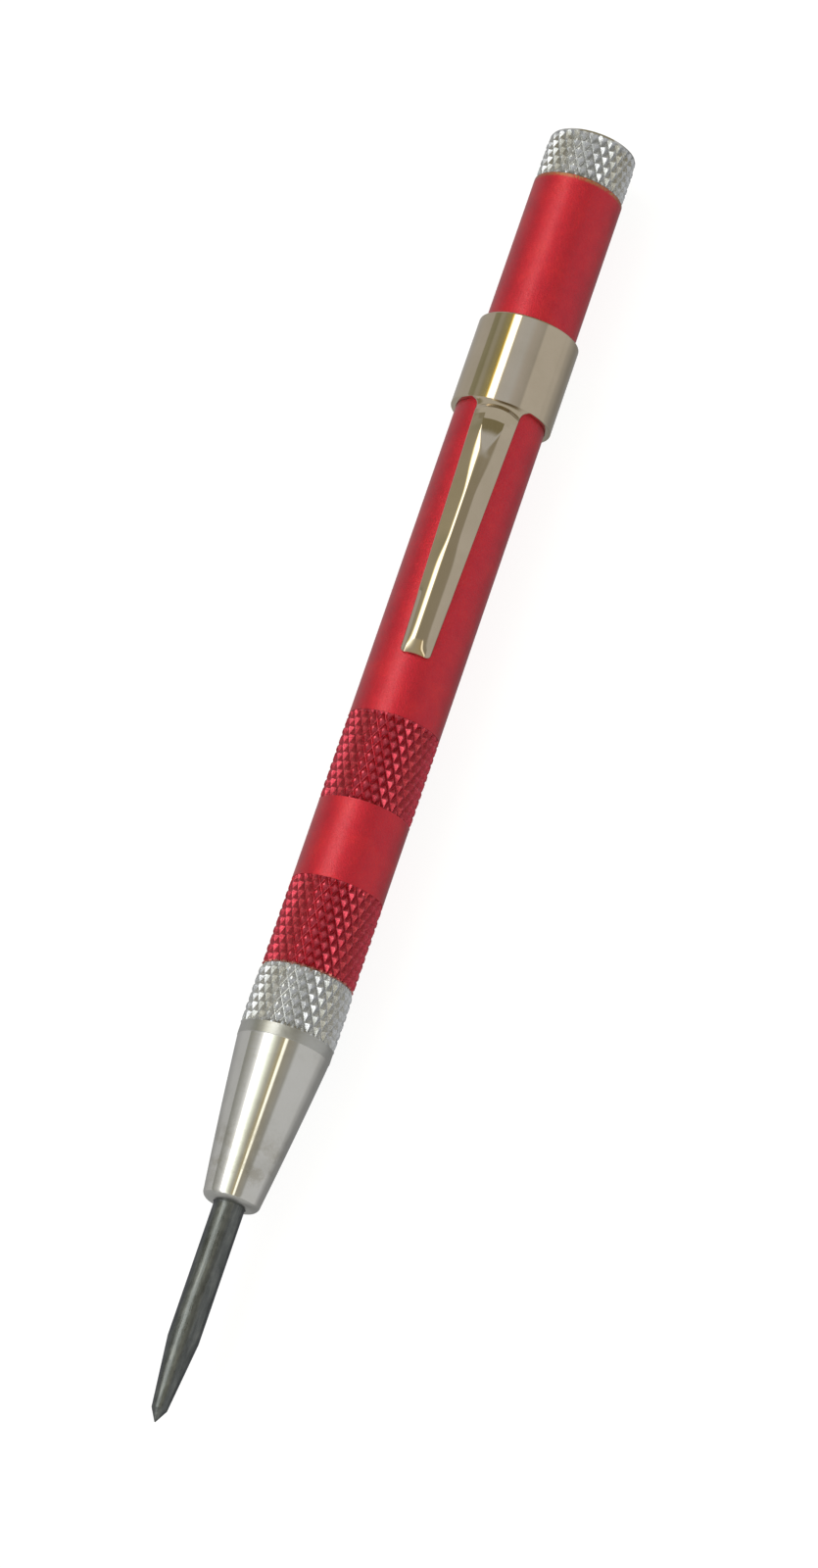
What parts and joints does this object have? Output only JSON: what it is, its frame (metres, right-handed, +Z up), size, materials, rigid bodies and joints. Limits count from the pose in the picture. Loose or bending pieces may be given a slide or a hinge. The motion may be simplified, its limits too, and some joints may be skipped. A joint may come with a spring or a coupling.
{
  "type": "center punch",
  "caption": "Pocket automatic center punch: knurled barrel, turned conical nose, replaceable point, spring driven hammer inside, pocket clip and screw cap that sets the blow.",
  "frame": {"origin": "midway along the tool, straight below the barrel axis, level with the underside of the clip band", "axes": "+X along the barrel axis from the point towards the adjusting cap, +Z up through the pocket clip, +Y across"},
  "size_m": [0.1414, 0.0108, 0.0114],
  "materials": {
    "anodised_red": "red anodised aluminium, satin, with diamond knurled grip bands",
    "bare_aluminium": "turned natural aluminium, knurled band",
    "nickel_plate": "nickel plated spring steel, polished",
    "dark_steel": "hardened tool steel, dark, ground",
    "ground_steel": "hardened steel, turned and ground",
    "spring_wire": "music wire, drawn"
  },
  "bodies": {
    "barrel": {"barrel": "anodised_red", "nose_piece": "bare_aluminium", "clip_band": "nickel_plate", "return_spring": "spring_wire"},
    "point": {"punch_point": "dark_steel", "plunger": "ground_steel"},
    "pin": {"release_pin": "ground_steel"},
    "hammer": {"hammer": "ground_steel"},
    "seat": {"spring_seat": "ground_steel", "main_spring": "spring_wire"},
    "cap": {"adjusting_cap": "bare_aluminium"},
    "tongue": {"clip_tongue": "nickel_plate"}
  },
  "joints": [
    {"name": "punch_press", "type": "slide", "parent": "barrel", "child": "point", "axis": [1, 0, 0], "range_m": [0, 0.009], "stiffness_N_per_m": 6510, "deforming": ["return_spring"]},
    {"name": "pin_straighten", "type": "hinge", "parent": "point", "child": "pin", "pos_m": [-0.01818, 0, 0.00536], "axis": [0, 1, 0], "range_deg": [0, 1.55], "stiffness_Nm_per_rad": 0.2},
    {"name": "hammer_lift", "type": "slide", "parent": "barrel", "child": "hammer", "axis": [1, 0, 0], "range_m": [0, 0.009], "deforming": ["main_spring"]},
    {"name": "cap_travel", "type": "slide", "parent": "barrel", "child": "seat", "axis": [1, 0, 0], "range_m": [0, 0.00556], "deforming": ["main_spring"]},
    {"name": "cap_turn", "type": "hinge", "parent": "seat", "child": "cap", "pos_m": [0.06539, 0, 0.00536], "axis": [1, 0, 0], "range_deg": [0, 2520]},
    {"name": "clip_flex", "type": "hinge", "parent": "barrel", "child": "tongue", "pos_m": [0.03809, 0, 0.01073], "axis": [0, 1, 0], "range_deg": [0, 5], "stiffness_Nm_per_rad": 2}
  ],
  "couplings": [
    {"joint": "pin_straighten", "follows": "punch_press", "rad_per_m": 2.9088},
    {"joint": "hammer_lift", "follows": "punch_press", "ratio": 1},
    {"joint": "cap_turn", "follows": "cap_travel", "rad_per_m": 7913}
  ]
}
